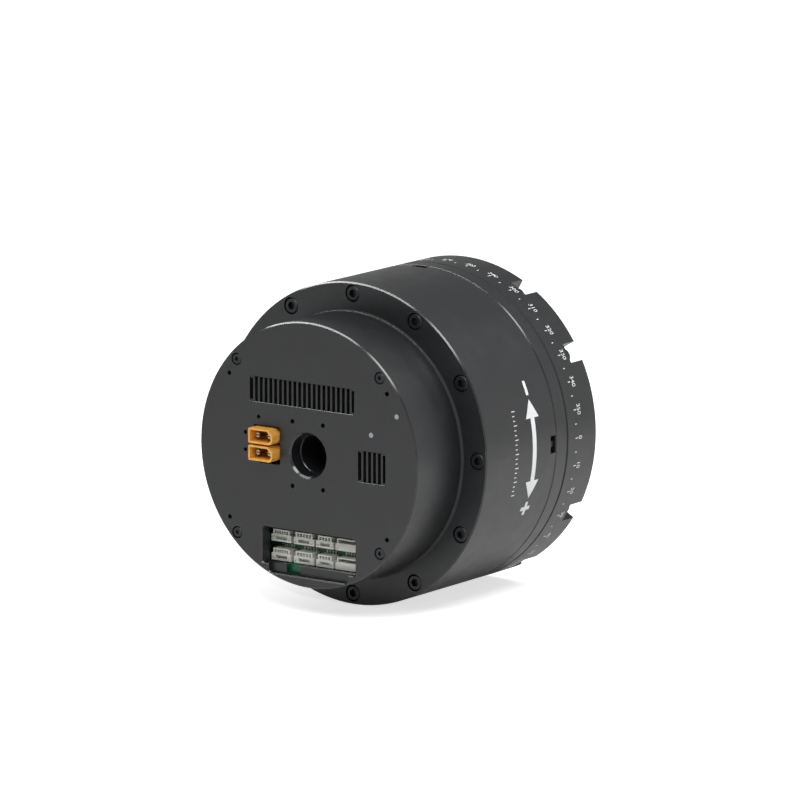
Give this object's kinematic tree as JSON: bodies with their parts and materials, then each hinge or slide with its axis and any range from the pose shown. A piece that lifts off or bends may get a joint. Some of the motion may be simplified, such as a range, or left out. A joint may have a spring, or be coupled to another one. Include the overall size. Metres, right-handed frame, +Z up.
{
  "type": "robot joint actuator",
  "caption": "Hollow rotary joint actuator with a frameless motor, brake, strain wave gear and crossed-roller output, power plugs and signal ports on its rear cover.",
  "frame": {"origin": "centre of the fixed ring's front face, where the housing is bolted", "axes": "+Y along the output axis towards the driven part, +Z up, cable side towards -Y"},
  "size_m": [0.11, 0.0942, 0.11],
  "materials": {
    "black_anodised": "satin black anodised aluminium, fine bead-blasted grain",
    "screw_black": "black oxide steel, slightly oily sheen",
    "bush_plastic": "filled bearing plastic",
    "board_green": "green solder mask over copper tracks",
    "standoff_brass": "nickel-free brass standoffs",
    "screw_steel": "stainless steel screws",
    "chip_black": "moulded chip packages",
    "plug_amber": "translucent amber nylon",
    "pin_gold": "gold plated contacts",
    "header_ivory": "greyish ivory moulded nylon",
    "light_clear": "frosted light pipe",
    "can_aluminium": "capacitor cans",
    "copper_winding": "enamelled copper wire",
    "lamination_steel": "varnished electrical steel laminations",
    "bearing_steel": "polished hardened bearing steel",
    "seal_rubber": "black nitrile rubber",
    "brake_iron": "phosphated iron",
    "spring_steel": "spring steel wire",
    "output_aluminium": "clear anodised turned aluminium",
    "gear_steel": "ground alloy steel with a film of grease",
    "encoder_glass": "encoder disc with a fine radial track",
    "rotor_iron": "machined iron",
    "magnet_nickel": "nickel plated rare earth magnets",
    "friction_lining": "moulded friction lining",
    "cage_nylon": "glass filled nylon"
  },
  "bodies": {
    "housing": {"rear_cover": "black_anodised", "cover_screws": "screw_black", "tube_bush": "bush_plastic", "rear_housing": "black_anodised", "flange_screws": "screw_black", "motor_housing": "black_anodised", "control_board": "board_green", "power_board": "board_green", "board_standoffs": "standoff_brass", "board_screws": "screw_steel", "encoder_board": "board_green", "encoder_standoffs": "standoff_brass", "encoder_read_heads": "chip_black", "power_plug_bodies": "plug_amber", "power_plug_pins": "pin_gold", "signal_headers_lower": "header_ivory", "signal_headers_upper": "header_ivory", "signal_header_pins": "pin_gold", "status_lights": "light_clear", "control_chips": "chip_black", "power_transistors": "chip_black", "bus_capacitors": "can_aluminium", "phase_leads": "copper_winding", "stator_core": "lamination_steel", "stator_coils": "copper_winding", "rotor_bearing_outer_races": "bearing_steel", "rotor_shaft_seal": "seal_rubber", "brake_magnet": "brake_iron", "brake_coil": "copper_winding", "brake_springs": "spring_steel", "brake_end_plate": "brake_iron", "brake_screws": "screw_steel", "flexspline": "black_anodised", "fixed_ring": "black_anodised", "ring_screws": "screw_black", "output_seal": "seal_rubber"},
    "output": {"output_flange": "output_aluminium", "output_flange_screws": "screw_steel", "circular_spline": "gear_steel", "inner_ring_rear": "bearing_steel", "inner_ring_front": "bearing_steel", "hollow_shaft": "black_anodised", "hollow_shaft_screws": "screw_steel", "output_encoder_disc": "encoder_glass"},
    "rotor": {"rotor_shaft": "gear_steel", "rotor_core": "rotor_iron", "rotor_magnets": "magnet_nickel", "rotor_bearing_inner_races": "bearing_steel", "brake_disc": "friction_lining", "wave_generator_cam": "gear_steel", "wave_generator_screws": "screw_steel", "wave_bearing_inner_race": "bearing_steel", "wave_bearing_balls": "bearing_steel", "wave_bearing_outer_race": "bearing_steel", "input_encoder_disc": "encoder_glass"},
    "roller_set": {"crossed_rollers": "bearing_steel"},
    "rotor_ball_sets": {"rotor_bearing_balls": "bearing_steel", "rotor_bearing_cages": "cage_nylon"},
    "brake_armature": {"brake_armature": "brake_iron"}
  },
  "joints": [
    {"name": "output_turn", "type": "hinge", "parent": "housing", "child": "output", "pos_m": [0, 0, 0], "axis": [0, 1, 0], "continuous": true},
    {"name": "rotor_spin", "type": "hinge", "parent": "housing", "child": "rotor", "pos_m": [0, 0, 0], "axis": [0, 1, 0], "continuous": true},
    {"name": "roller_orbit", "type": "hinge", "parent": "housing", "child": "roller_set", "pos_m": [0, 0, 0], "axis": [0, 1, 0], "continuous": true},
    {"name": "ball_orbit", "type": "hinge", "parent": "housing", "child": "rotor_ball_sets", "pos_m": [0, 0, 0], "axis": [0, 1, 0], "continuous": true},
    {"name": "brake_release", "type": "slide", "parent": "housing", "child": "brake_armature", "axis": [0, 1, 0], "range_m": [-0.00025, 0], "stiffness_N_per_m": 15000}
  ],
  "couplings": [
    {"joint": "rotor_spin", "follows": "output_turn", "ratio": 101},
    {"joint": "roller_orbit", "follows": "output_turn", "ratio": 0.4792},
    {"joint": "ball_orbit", "follows": "output_turn", "ratio": 44.049}
  ]
}
